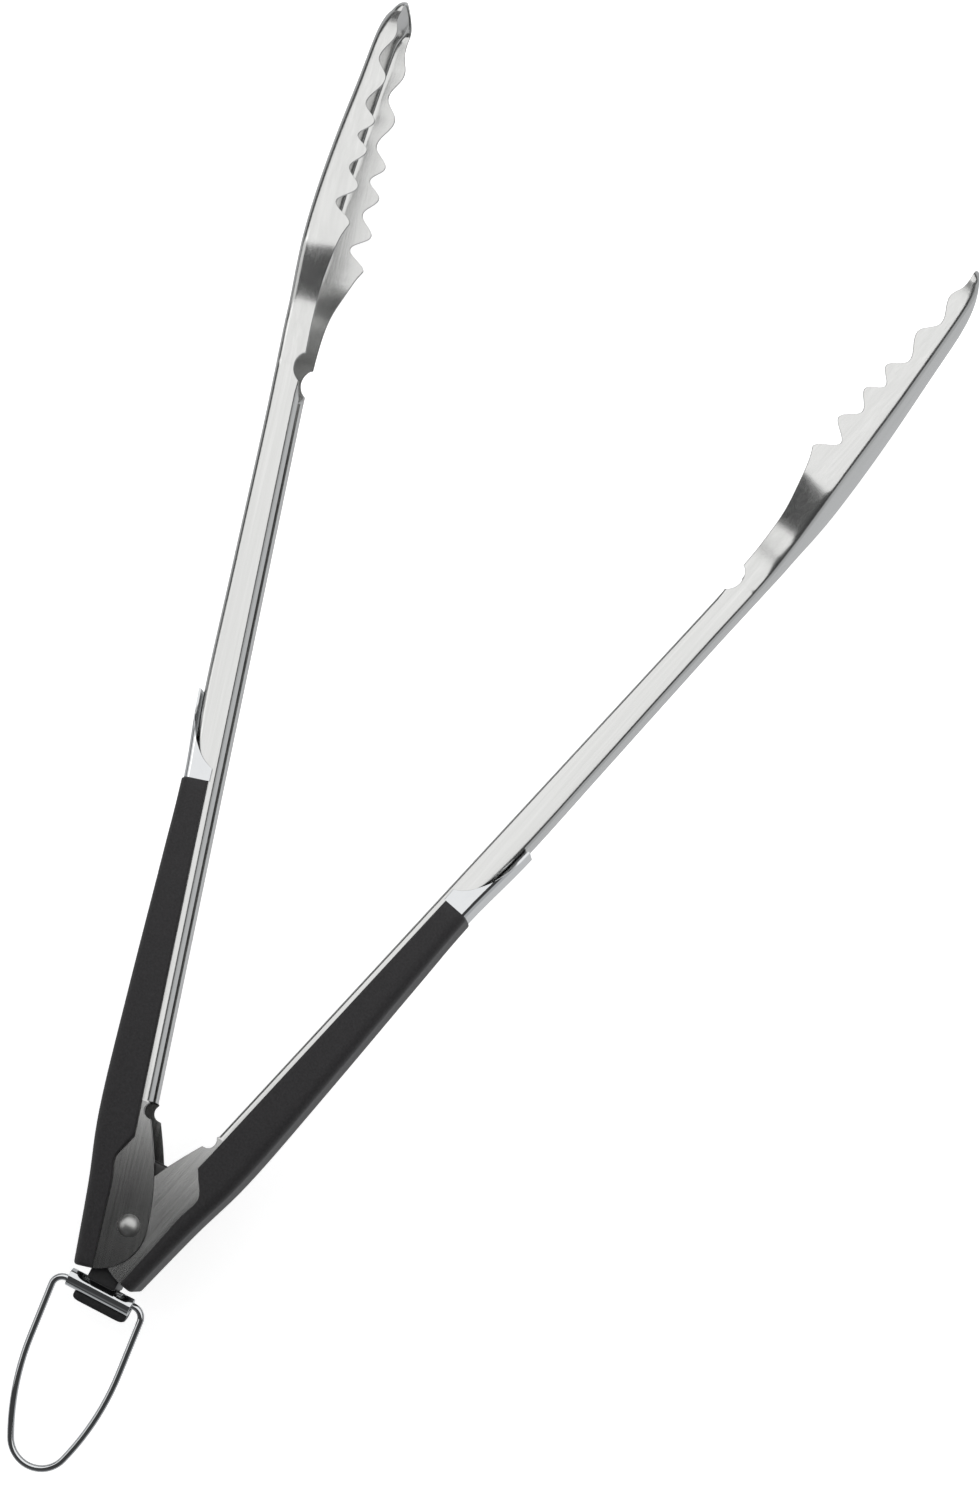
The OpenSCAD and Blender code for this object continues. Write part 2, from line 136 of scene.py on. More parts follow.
spine_v = table(smooth_line([
    [-HEEL, HEEL_SPINE], [10, HEEL_SPINE + 1.2], [33, MID_SPINE - 0.1], [70, MID_SPINE - 0.5],
    [GRIP_FRONT - 25, MID_SPINE - 1.5], [GRIP_FRONT, MID_SPINE - 1.9],
    [GRIP_FRONT + FERRULE_LEN, MID_SPINE - 0.3], [LIP_END - 66, MID_SPINE],
    [LIP_END - 16, MID_SPINE + 0.4], [LIP_END + 10, MID_SPINE + 0.9],
    [LIP_END + 25, MID_SPINE + 0.7], [LIP_END + 44, MID_SPINE - 0.1],
    [LIP_END + 74, MID_SPINE - 2.6], [LIP_END + 99, MID_SPINE - 5.7],
    [REACH - 10, 6.6], [REACH - 4, 3.9], [REACH, 1.4]]))

NOSE, NOSE_W = 5.5, 0.28 * HEAD_W


def head_width(w):
    """Half the width of an arm that is w wide at the handle, as a function of u up to its nose."""
    return table(np.vstack([[[-30, w / 2]], smooth_line([
        [LIP_END - 32, w / 2], [LIP_END, w / 2], [LIP_END + 6, w / 2 + 0.5],
        [LIP_END + 13, w / 2 + 1.6], [LIP_END + 21, HEAD_W * 0.274],
        [LIP_END + 27, HEAD_W * 0.32], [LIP_END + 38, HEAD_W * 0.437],
        [LIP_END + 44, HEAD_W * 0.482], [LIP_END + 53, HEAD_W / 2],
        [LIP_END + 64, HEAD_W * 0.488], [LIP_END + 82, HEAD_W * 0.438],
        [LIP_END + 98, HEAD_W * 0.385], [REACH - 15, HEAD_W * 0.355], [REACH - NOSE, NOSE_W]])]))


PEAKS = [0, 12.1, 24.5, 34.6, 49.8, 65.6]
GULLETS = [(6.5, GULLET), (18.4, GULLET - 1.6), (29.5, GULLET - 1.7), (40.7, GULLET - 1.6),
           (56.7, GULLET - 2.2), (71.2, 1.2)]


def tooth_line(steps=10):
    """The scalloped edge, from its rear corner to the tip."""
    line = []
    for i, (run, depth) in enumerate(GULLETS):
        peak = (TOOTH_START + PEAKS[i], 0.1)
        low = (TOOTH_START + run, depth)
        last = i == len(GULLETS) - 1
        after = (REACH - 1.2, 0.2) if last else (TOOTH_START + PEAKS[i + 1], 0.1)
        for start, end in ((peak, low), (low, after)):
            for k in range(steps):
                t = k / steps
                rise = (1 - math.cos(math.pi * t)) / 2
                line.append([start[0] + (end[0] - start[0]) * t,
                             start[1] + (end[1] - start[1]) * rise])
    return line + [[REACH, 0.4]]


NECK_END = LIP_END + NOTCH_CHORD
cheek_v = table(smooth_line([[0, -CHEEK_IN], [8, 0.3 - CHEEK_IN], [16, 1.5 - CHEEK_IN],
                             [24, 3.6 - CHEEK_IN], [CHEEK_END, CHEEK_END_V]]))
head_v = table(np.vstack([smooth_line([
    [NECK_END, FOLD_FRONT - 0.4], [NECK_END + 10, FOLD_FRONT - 0.5],
    [NECK_END + 20, FOLD_FRONT - 1.3], [NECK_END + 29, FOLD_FRONT - 3.3],
    [TOOTH_START - 4, 2], [TOOTH_START, 0.1]]), tooth_line()]))


def circle_v(u, centre, v, r):
    """Upper edge of a round notch at u, or nothing outside it."""
    inside = r * r - (u - centre) ** 2
    return v + math.sqrt(inside) if inside > 0 else -99.0


def edge_v(u):
    """The free edge of an arm's flanges, where there are no lips."""
    if u < 0:
        return HEEL - CHEEK_IN - math.sqrt(max(0, HEEL * HEEL - u * u))
    if u < LIP_START:
        rear = circle_v(u, LIP_START - REAR_NOTCH_BACK, REAR_NOTCH_V, REAR_NOTCH_R)
        way = max(0, (u - CHEEK_END) / (LIP_START - CHEEK_END))
        line = cheek_v(u) if way == 0 else CHEEK_END_V + (FOLD_REAR - CHEEK_END_V) * way
        return max(rear, line)
    if u < NECK_END:
        return max(fold_v(u), circle_v(u, LIP_END + NOTCH_CHORD / 2, NOTCH_V, NOTCH_R))
    return head_v(u)


def place(points, side):
    """Arm terms in millimetres to the row frame in metres: side 1 is the inner arm's."""
    p = np.asarray(points, float)
    u, v, z = p[..., 0], p[..., 1], p[..., 2]
    x = side * (u * math.sin(OPEN_ANGLE) + v * math.cos(OPEN_ANGLE))
    y = u * math.cos(OPEN_ANGLE) - v * math.sin(OPEN_ANGLE)
    return np.stack([x, y, z], -1) * MM + PIVOT


# ---------------------------------------------------------------- meshes

MERGE = 1e-6     # points closer than this, in metres, are one point
SHARP = 35       # edges that turn by more degrees than this stay sharp


def shaded_object(name, bm, mesh, sharp):
    """An object from a finished bmesh: normals outward, smooth but for its sharp edges."""
    bmesh.ops.recalc_face_normals(bm, faces=bm.faces)
    bm.to_mesh(mesh)
    bm.free()
    mesh.shade_smooth()
    mesh.set_sharp_from_angle(angle=math.radians(sharp))
    obj = bpy.data.objects.new(name, mesh)
    bpy.context.scene.collection.objects.link(obj)
    return obj


def make_object(name, verts, faces, sharp=SHARP):
    """A closed mesh object from points in metres, with doubles merged."""
    mesh = bpy.data.meshes.new(name)
    mesh.from_pydata([tuple(v) for v in verts], [], faces)
    bm = bmesh.new()
    bm.from_mesh(mesh)
    bmesh.ops.remove_doubles(bm, verts=bm.verts, dist=MERGE)
    bmesh.ops.dissolve_degenerate(bm, edges=bm.edges, dist=MERGE)
    return shaded_object(name, bm, mesh, sharp)


# Points across a channel's section: lip, each bend, flange and half the web.
LIP_COLS, ARC_COLS, FLANGE_COLS, WEB_COLS = 3, 5, 6, 6
COLUMNS = 2 * (LIP_COLS + 2 * ARC_COLS + FLANGE_COLS + WEB_COLS + 1) - 1


def half_path(u, w, s, e, r, lip=None, crown=0.0):
    """One half of a channel's section, from its free edge to the middle of its web.

    w is its half width, s where the web stands, e where the free edge stands, r the radius
    of its corner. lip is (where the lip stands, its width, the radius of its fold).
    """
    points = []
    if lip:
        at, width, fold = lip
        for k in range(LIP_COLS):
            points.append((at, w - width + (width - fold) * k / LIP_COLS))
        for k in range(ARC_COLS):
            a = math.pi / 2 * k / ARC_COLS
            points.append((at + fold * (1 - math.cos(a)), w - fold * (1 - math.sin(a))))
        e = at + fold
    else:
        points += [(e, w)] * (LIP_COLS + ARC_COLS)
    start = 0.0
    if e > s - r:
        start = math.asin(min(1, (e - (s - r)) / r))
    foot = min(e, s - r) if start == 0 else None
    for k in range(FLANGE_COLS):
        if start:
            points.append((s - r + r * math.sin(start), w - r + r * math.cos(start)))
        else:
            points.append((foot + (s - r - foot) * k / FLANGE_COLS, w))
    if start:
        points[:LIP_COLS + ARC_COLS] = [points[-1]] * (LIP_COLS + ARC_COLS)
    flat = w - r
    for k in range(ARC_COLS):
        a = start + (math.pi / 2 - start) * k / ARC_COLS
        points.append((s - crown - r + r * math.sin(a), w - r + r * math.cos(a)))
    for k in range(WEB_COLS + 1):
        z = flat * (1 - k / WEB_COLS)
        share = z / flat if flat > 0 else 0
        points.append((s - crown * share * share, z))
    return [(u, v, z) for v, z in points]


def both_halves(half, splay=0.0):
    """A whole section from its near half, its flanges splayed: the far half mirrors it."""
    wide = max(z for u, v, z in half)
    half = [(u, v, z * (1 - splay * max(v, 0) / wide)) for u, v, z in half]
    return half + [(u, v, -z) for u, v, z in reversed(half[:-1])]


def toward(a, b, dist):
    """The point dist from a, on the way to b."""
    a, b = np.array(a, float), np.array(b, float)
    gap = np.linalg.norm(b - a)
    return a if gap < 1e-9 else a + (b - a) * min(dist / gap, 0.45)


def ring(outer, inner, bevel):
    """A closed ring of points round a sheet's section, its two free edges bevelled."""
    o, i = [np.array(p, float) for p in outer], [np.array(p, float) for p in inner]
    start = [toward(i[0], o[0], bevel), toward(o[0], i[0], bevel)]
    end = [toward(o[-1], i[-1], bevel), toward(i[-1], o[-1], bevel)]
    run = next((k for k in range(1, len(o)) if np.linalg.norm(o[k] - o[0]) > 1e-6), 1)
    back = next((k for k in range(1, len(i)) if np.linalg.norm(i[k] - i[0]) > 1e-6), 1)
    o_start, o_end = toward(o[0], o[run], bevel), toward(o[-1], o[-1 - run], bevel)
    i_start, i_end = toward(i[0], i[back], bevel), toward(i[-1], i[-1 - back], bevel)
    for k in range(run):
        o[k], o[-1 - k] = o_start, o_end
    for k in range(back):
        i[k], i[-1 - k] = i_start, i_end
    return o + end + i[::-1] + start


def skin_mesh(name, rings, side, sharp):
    """Joins rings of points into one closed sheet and stands it where the arm is."""
    size = len(rings[0])
    verts = place(np.array(rings), side).reshape(-1, 3)
    faces = []
    for a in range(len(rings) - 1):
        for k in range(size):
            n = (k + 1) % size
            faces.append((a * size + k, a * size + n, (a + 1) * size + n, (a + 1) * size + k))
    for at in (0, (len(rings) - 1) * size):
        for k in range(COLUMNS - 1):
            inner = size - 3 - k
            faces.append((at + k, at + k + 1, at + inner - 1, at + inner))
        faces.append(tuple(at + COLUMNS + k for k in (-1, 0, 1, 2)))
        faces.append((at + size - 3, at + size - 2, at + size - 1, at))
    return make_object(name, verts, faces, sharp)


def runs(*stretches):
    """Stations along u: each stretch is (start, end, step)."""
    out = []
    for start, end, step in stretches:
        count = max(1, round((end - start) / step))
        out += [start + (end - start) * k / count for k in range(count)]
    return out + [stretches[-1][1]]


# ---------------------------------------------------------------- pieces

BEND, LIP_BEND = 2.4, 1.5             # outer radii of the arm's bends and of its lips' folds
HANDLE_CROWN, HEAD_CROWN = 0.3, 0.7   # how far the web bulges
EDGE = 0.16                           # bevel of a sheet's cut edge
HEAD_SPLAY = 0.13                     # how far the head's flanges lean toward their teeth
SPINE_EASE = 0.03                     # these keep the finer curves inside the CAD's box
NOSE_END = REACH - 0.06
NOSE_STEPS = 14


def arm(name, w, side):
    """One sheet steel arm: channel, folded lips, notches and scalloped scoop head."""
    width = head_width(w)
    gap = 0.02    # between the last station without lips and the first with them
    heel = [-HEEL * math.cos(math.radians(a)) for a in range(0, 90, 6)]
    stations = heel + runs(
        (0, 31, 1.5), (31, LIP_START, 0.35), (LIP_START + gap, LIP_END - gap, 4),
        (LIP_END, NECK_END, 0.4), (NECK_END, TOOTH_START - 4, 1.2),
        (TOOTH_START - 4, TOOTH_START + 2, 0.5), (TOOTH_START + 2, REACH - NOSE, 0.6))
    rings = []
    for u in stations:
        lips = LIP_START < u < LIP_END
        rise = min(1, max(0, (u - LIP_END) / 40)) * min(1, max(0.2, (REACH - NOSE - u) / 40))
        crown = HANDLE_CROWN + (HEAD_CROWN - HANDLE_CROWN) * rise
        splay = HEAD_SPLAY * min(1, max(0, (u - LIP_END - 18) / 25))
        half, back = width(u), spine_v(u) - SPINE_EASE
        e = edge_v(u)
        r = min(BEND, 0.75 * (back - e))
        lip = (fold_v(u), LIP_W, LIP_BEND) if lips else None
        lip_in = (fold_v(u) + SHEET, LIP_W - SHEET, LIP_BEND - SHEET) if lips else None
        outer = half_path(u, half, back, e, r, lip, crown)
        inner = half_path(u, half - SHEET, back - SHEET, e, max(r - SHEET, 0.3), lip_in, crown)
        rings.append(ring(both_halves(outer, splay), both_halves(inner, splay), EDGE))
    for k in range(1, NOSE_STEPS + 1):
        a = math.pi / 2 * k / NOSE_STEPS
        run, share = math.sin(a) ** 0.8, max(math.cos(a), 0) ** 0.8
        u = NOSE_END - NOSE * (1 - run)
        u_in = NOSE_END - SHEET - (NOSE - SHEET) * (1 - run)
        half, half_in = NOSE_W * share, (NOSE_W - SHEET) * share
        e, back = edge_v(u), spine_v(u) - SPINE_EASE
        back_in = min(spine_v(u_in), back) - SHEET * (1 - 0.45 * math.sin(a))
        r = min(BEND, 0.75 * (back - e), half * 0.7 + 0.01)
        crown = HANDLE_CROWN * (1 - k / NOSE_STEPS)
        splay = HEAD_SPLAY * share
        outer = half_path(u, half, back, e, r, None, crown)
        e_in = min(edge_v(u_in), back_in - 0.05)
        inner = half_path(u_in, half_in, back_in, e_in, max(min(r - SHEET, half_in), 0.01),
                          None, crown)
        rings.append(ring(both_halves(outer, splay), both_halves(inner, splay), EDGE))
    return skin_mesh(name, rings, side, 40)


GRIP_ROUND = 3.6     # outer radius of a grip's corners


def grip_line(step):
    """The edge that a grip leaves open, with its step round the pivot."""
    return table(smooth_line([
        [-HEEL, step], [4, step], [12, step], [18.5, step + 0.7], [21.5, step - 0.4],
        [27, fold_v(27) + STRIP_W + 0.2], [36, fold_v(36) + STRIP_W],
        [GRIP_FRONT, fold_v(GRIP_FRONT) + STRIP_W]]))


def grip_layer(name, w, low, high, step, side, end):
    """A grip's skin or carrier, from depth low to depth high round the arm.

    end is the radius to which its two ends are rounded.
    """
    line = grip_line(step)
    rings = []
    stations = runs((-HEEL, 28, 1.4), (28, GRIP_FRONT, 4))
    ends = [1 - math.cos(math.radians(a)) for a in (0, 12, 25, 40, 55, 72)]
    stations = sorted(set([-HEEL + end * k for k in ends] + [GRIP_FRONT - end * k for k in ends]
                          + [u for u in stations if -HEEL + end < u < GRIP_FRONT - end]))
    for u in stations:
        near = min(u + HEEL, GRIP_FRONT - u)
        dip = end - math.sqrt(max(0, end * end - (end - near) ** 2)) if near < end else 0
        t = (high - low) * (1 - 0.9 * dip / end)
        depth = low + t
        e = line(u)
        r = GRIP_ROUND + depth - GRIP_T
        outer = half_path(u, w / 2 + depth, spine_v(u) + depth, e, r)
        inner = half_path(u, w / 2 + low, spine_v(u) + low, e, max(GRIP_ROUND + low - GRIP_T, 0.5))
        rings.append(ring(both_halves(outer), both_halves(inner), min(0.5, t * 0.45)))
    return skin_mesh(name, rings, side, 50)


FERRULE_ROUND = 2.6  # outer radius of a ferrule's corners
SWEEP_START = 14     # where on its quarter ellipse the hood's sweep begins, in degrees


def ferrule(name, w, side):
    """The chrome ferrule: a collar, then a hood whose sides sweep forward to the spine."""
    base = fold_v(GRIP_FRONT) + STRIP_W - 0.6
    tip = GRIP_FRONT + FERRULE_LEN
    high = spine_v(tip) + HOOD + FERRULE_T - base
    first = math.radians(SWEEP_START)
    line = [[GRIP_FRONT, base], [GRIP_FRONT + COLLAR, base]]
    for a in range(SWEEP_START, 91, 4):
        s = math.radians(a)
        line.append([tip - (FERRULE_LEN - COLLAR) * math.cos(s) / math.cos(first),
                     base + high * (math.sin(s) - math.sin(first)) / (1 - math.sin(first))])
    edge = table(line)
    rings = []
    for u in runs((GRIP_FRONT, GRIP_FRONT + COLLAR, 0.8), (GRIP_FRONT + COLLAR, tip - 2, 0.7),
                  (tip - 2, tip, 0.2)):
        lift = min(1, max(0, (u - GRIP_FRONT - COLLAR + 2) / 2))
        low, top = HOOD * lift, HOOD + FERRULE_T
        s = spine_v(u)
        e = min(edge(u), s + top - 0.02)
        e_in = min(e, s + low - 0.02)
        outer = half_path(u, w / 2 + top, s + top, e, FERRULE_ROUND)
        inner = half_path(u, w / 2 + low, s + low, e_in, FERRULE_ROUND - top + low)
        rings.append(ring(both_halves(outer), both_halves(inner), 0.15))
    return skin_mesh(name, rings, side, 50)


def lathe(name, profile, axis, centre, turns=64):
    """A closed profile of (radius, height) points turned round an axis, Z or X."""
    verts, faces = [], []
    for k in range(turns):
        a = 2 * math.pi * k / turns
        for r, h in profile:
            p = (r * math.cos(a), r * math.sin(a), h)
            verts.append(p if axis == "Z" else (p[2], p[0], p[1]))
    size = len(profile)
    for k in range(turns):
        n = (k + 1) % turns
        for j in range(size):
            i = (j + 1) % size
            faces.append((k * size + j, k * size + i, n * size + i, n * size + j))
    verts = np.array(verts) * MM + np.array(centre)
    return make_object(name, verts, faces)


def sweep(name, line, r, sides=20):
    """A round wire along a line of points in metres, with rounded ends."""
    line = np.asarray(line, float)
    along = np.gradient(line, axis=0)
    along /= np.linalg.norm(along, axis=1)[:, None]
    up = np.cross(along[0], [0.3, 0.5, 0.8])
    up /= np.linalg.norm(up)
    ends = [(0.0, 0.05), (0.35, 0.75), (0.8, 0.97)]   # (depth, radius) of an end's rings
    turns = [2 * math.pi * j / sides for j in range(sides)]
    rings = []
    for k, (at, way) in enumerate(zip(line, along)):
        up = up - way * np.dot(up, way)
        up /= np.linalg.norm(up)
        across = np.cross(way, up)
        circle = [up * math.cos(a) + across * math.sin(a) for a in turns]
        if k == 0:
            rings += [[at + way * r * d + c * r * g for c in circle] for d, g in ends]
        elif k == len(line) - 1:
            rings += [[at - way * r * d + c * r * g for c in circle] for d, g in reversed(ends)]
        else:
            rings.append([at + c * r for c in circle])
    verts = np.array(rings).reshape(-1, 3)
    faces = []
    for k in range(len(rings) - 1):
        for j in range(sides):
            n = (j + 1) % sides
            faces.append((k * sides + j, k * sides + n, (k + 1) * sides + n, (k + 1) * sides + j))
    faces.append(tuple(range(sides)))
    faces.append(tuple((len(rings) - 1) * sides + j for j in range(sides)))
    return make_object(name, verts, faces)


def plate(name, outlines, low, high, bevel):
    """Flat outlines in x and y, the later ones holes, made into a plate with rounded edges."""
    data = bpy.data.curves.new(name, "CURVE")
    data.dimensions = "2D"
    data.fill_mode = "BOTH"
    data.extrude = ((high - low) / 2 - bevel) * MM
    data.bevel_depth = bevel * MM
    data.bevel_resolution = 3
    data.offset = -bevel * MM
    for outline in outlines:
        spline = data.splines.new("POLY")
        spline.points.add(len(outline) - 1)
        for point, (x, y) in zip(spline.points, outline):
            point.co = (x * MM, y * MM, 0, 1)
        spline.use_cyclic_u = True
    curve = bpy.data.objects.new(name + "_outline", data)
    bpy.context.scene.collection.objects.link(curve)
    bpy.context.view_layer.update()
    mesh = bpy.data.meshes.new_from_object(curve.evaluated_get(
        bpy.context.evaluated_depsgraph_get()))
    bpy.data.objects.remove(curve)
    bpy.data.curves.remove(data)
    mesh.name = name
    bm = bmesh.new()
    bm.from_mesh(mesh)
    bmesh.ops.remove_doubles(bm, verts=bm.verts, dist=MERGE)
    shift = Vector(PIVOT) + Vector((0, 0, (low + high) / 2 * MM))
    bmesh.ops.translate(bm, verts=bm.verts, vec=shift)
    return shaded_object(name, bm, mesh, SHARP)


def join(name, objects):
    """Several mesh objects made into one."""
    bm = bmesh.new()
    for obj in objects:
        bm.from_mesh(obj.data)
        bpy.data.objects.remove(obj)
    return shaded_object(name, bm, bpy.data.meshes.new(name), SHARP)


def rounded(points, radii, steps=6):
    """An outline with its corners rounded, each by its own radius."""
    out, count = [], len(points)
    for k in range(count):
        a, b, c = (np.array(points[j % count], float) for j in (k - 1, k, k + 1))
        r = radii[k]
        if r == 0:
            out.append(tuple(b))
            continue
        start, end = toward(b, a, r), toward(b, c, r)
        for j in range(steps + 1):
            t = j / steps
            out.append(tuple((1 - t) ** 2 * start + 2 * t * (1 - t) * b + t * t * end))
    return out


def mirrored(half):
    """A whole outline from its right half, given from front to back or back to front."""
    return list(half) + [(-x, y) for x, y in reversed(half)]


def rivet():
    """The pivot rivet: a shank with a domed head at each end, drawn as one turned profile."""
    half, r = OUTER_W / 2, RIVET_HEAD_D / 2
    ball = (r * r + RIVET_HEAD_H ** 2) / (2 * RIVET_HEAD_H)
    top = [(RIVET_D / 2, half + 0.02), (r - 0.12, half + 0.02), (r, half + 0.12)]
    for k in range(1, 9):
        a = math.asin(r / ball) * (1 - k / 8)
        top.append((max(ball * math.sin(a), 0.001),
                    half + RIVET_HEAD_H - ball * (1 - math.cos(a))))
    bottom = [(radius, -h) for radius, h in reversed(top)]
    return lathe("pivot_rivet_turned", bottom + top, "Z", PIVOT)


def hinge_tube():
    """The chrome tube that the bail turns in, its ends chamfered inside and out."""
    half, out, bore, c, mid = TUBE_LEN / 2, TUBE_D / 2, TUBE_BORE / 2, 0.25, 0.07
    end = [(out, half - c), (out - mid, half - mid), (out - c, half), (bore + c, half),
           (bore, half - c)]
    profile = [(r, -h) for r, h in reversed(end)] + end
    return lathe("hinge_tube_turned", profile, "X", TUBE)


def bail():
    """The wire bail, on the same arcs as the CAD's.

    corner is the radius of its bends at the tube, end_r that of its far end, and turn the
    angle of the long arcs between them.
    """
    corner, end_r, turn = 3.5, 9.5, math.radians(22)
    long_r = (BAIL_HALF - end_r * math.cos(turn)) / (1 - math.cos(turn))
    length = BAIL_LEN - 0.05       # a little short, to stay inside the CAD's box
    stop = length - end_r + (end_r - long_r) * math.sin(turn)

    def arc(cx, cy, r, start, end, n):
        return [(cx + r * math.cos(a), cy + r * math.sin(a))
                for a in np.linspace(start, end, n)]

    half = [(2.5, 0), (7, 0)] + arc(BAIL_HALF - corner, -corner, corner, math.pi / 2, 0, 10)
    half += [(BAIL_HALF, -corner - (stop - corner) * k / 5) for k in range(1, 5)]
    half += arc(BAIL_HALF - long_r, -stop, long_r, 0, -turn, 12)
    half += arc(0, end_r - length, end_r, -turn, -math.pi / 2, 12)[1:]
    line = half + [(-x, y) for x, y in reversed(half[:-1])]
    lean, droop = BAIL_LEAN, BAIL_DROOP
    points = []
    for x, y in line:
        px, py = x * math.cos(lean) - y * math.sin(lean), x * math.sin(lean) + y * math.cos(lean)
        points.append(np.array([px, py * math.cos(droop), py * math.sin(droop)]) * MM + TUBE)
    return sweep("hanging_bail_wire", points, WIRE_D / 2 * MM, 28)


def torsion_spring():
    """The real helix round the sleeve, with a leg along each arm's back."""
    low = -(SPRING_TURNS - 1) * SPRING_WIRE / 2
    tip = np.array([SPRING_LEG, spine_v(SPRING_LEG) - SHEET - SPRING_WIRE / 2 - SPRING_LEG_GAP,
                    0])
    leg_in = ((place(tip, 1) - PIVOT) / MM)[:2]
    leg_out = ((place(tip, -1) - PIVOT) / MM)[:2]

    def tangent(end, turn_way):
        """Where round the coil a leg that ends there leaves it."""
        reach = math.hypot(end[0], end[1])
        return math.atan2(end[1], end[0]) + turn_way * math.acos(SPRING_R / reach)

    def coil(angle):
        return np.array([SPRING_R * math.cos(angle), SPRING_R * math.sin(angle)])

    def straight(start, end, shares):
        return [start * (1 - t) + end * t for t in shares]

    start, stop = tangent(leg_in, -1), tangent(leg_out, 1)
    total = stop - start
    while total < 2 * math.pi * (SPRING_TURNS - 1):
        total += 2 * math.pi
    steps, leg_steps = 40 * SPRING_TURNS, 12
    shares = [k / leg_steps for k in range(leg_steps + 1)]
    points = [[*p, low] for p in straight(leg_in, coil(start), shares[:-1])]
    points += [[*coil(start + total * k / steps), low - 2 * low * k / steps]
               for k in range(steps + 1)]
    points += [[*p, -low] for p in straight(coil(stop), leg_out, shares[1:])]
    line = np.array(points) * MM + PIVOT
    play = 0.97      # drawn a little thin, so that its turns don't merge
    return sweep("torsion_spring_wire", line, SPRING_WIRE / 2 * MM * play, 14)


def lock_slider():
    """Two slotted plates, one inside each of the inner arm's cheeks."""
    half = [(SLIDER_FRONT_W / 2, SLIDER_FRONT), (SLIDER_FRONT_W / 2, SLIDER_WIDE),
            (SLIDER_W / 2, SLIDER_NARROW), (SLIDER_W / 2, SLIDER_REAR)]
    outline = rounded(mirrored(half), [1.2, 1, 1, 1, 1, 1, 1, 1.2])
    slot_r = SLEEVE_R + SLIDER_GAP
    half_turn = np.linspace(0, math.pi, 17)
    slot = [(slot_r * math.cos(a), slot_r * math.sin(a)) for a in half_turn + math.pi]
    slot += [(slot_r * math.cos(a), LOCK_TRAVEL + slot_r * math.sin(a)) for a in half_turn]
    hole = [(math.cos(a), math.sin(a) - TAB_PIN_BACK)
            for a in np.linspace(0, 2 * math.pi, 24, False)]
    plates = []
    for s in (-1, 1):
        low, high = sorted((s * SLIDER_Z, s * (SLIDER_Z - SLIDER_T)))
        plates.append(plate("slider_plate", [outline, slot, hole], low, high, 0.12))
    return join("lock_slider_plates", plates)


def pull_tab():
    """The moulded tab: neck between the heels, saddle under the tube and lip behind it."""
    inner = SLIDER_Z - SLIDER_T
    neck_rear = TUBE_D / 2 - 0.3 - TUBE_BACK
    shoulder = 0.6 - TUBE_BACK
    rear = TUBE_BACK + TUBE_D / 2 + LIP_WALL
    neck = rounded(mirrored([(NECK_W / 2, TAB_FRONT), (NECK_W / 2, neck_rear)]), [0.8] * 4)
    saddle = [(x if y > shoulder else x + LIP_SHIFT, y)
              for x, y in mirrored([(NECK_W / 2, neck_rear + 1),
                                    (NECK_W / 2, shoulder + SADDLE_FLARE),
                                    (SADDLE_W / 2, shoulder), (SADDLE_W / 2, -rear)])]
    saddle = rounded(saddle, [0.1, 0.3, 1.4, 2.6, 2.6, 1.4, 0.3, 0.1])
    inset, lip_front = 0.05, -TUBE_BACK - 2.3    # the lip stands just inside the saddle's edge
    lip = [(x + LIP_SHIFT, y) for x, y in mirrored([(SADDLE_W / 2 - inset, lip_front),
                                                    (SADDLE_W / 2 - inset, inset - rear)])]
    lip = rounded(lip, [0.4, 2.6 - inset, 2.6 - inset, 0.4])
    return join("pull_tab_moulding", [plate("neck", [neck], -inner, inner, 0.5),
                                      plate("saddle", [saddle], -SADDLE_BASE, -TUBE_D / 2, 0.3),
                                      plate("lip", [lip], 1 - SADDLE_BASE, -LIP_DROP, 0.5)])


# ---------------------------------------------------------------- materials

def node_material(name):
    """A material with its Principled shader, and a short way to add nodes to it."""
    material = bpy.data.materials.new(name)
    material.use_nodes = True
    tree = material.node_tree
    shader = tree.nodes["Principled BSDF"]

    def add(kind, inputs=None, **settings):
        node = tree.nodes.new(kind)
        for key, value in settings.items():
            setattr(node, key, value)
        for key, value in (inputs or {}).items():
            if isinstance(value, bpy.types.NodeSocket):
                tree.links.new(value, node.inputs[key])
            else:
                node.inputs[key].default_value = value
        return node

    def link(source, target):
        tree.links.new(source, target)

    return material, shader, add, link


def spread(add, source, low, high):
    """Maps a 0 to 1 value to low to high."""
    return add("ShaderNodeMapRange", {"Value": source, "To Min": low, "To Max": high}).outputs[0]


PAINTED_SHADE_FROM, PAINTED_SHADE_TO = 0.014, 0.052     # metres from the pivot over which the painted shade round it fades out
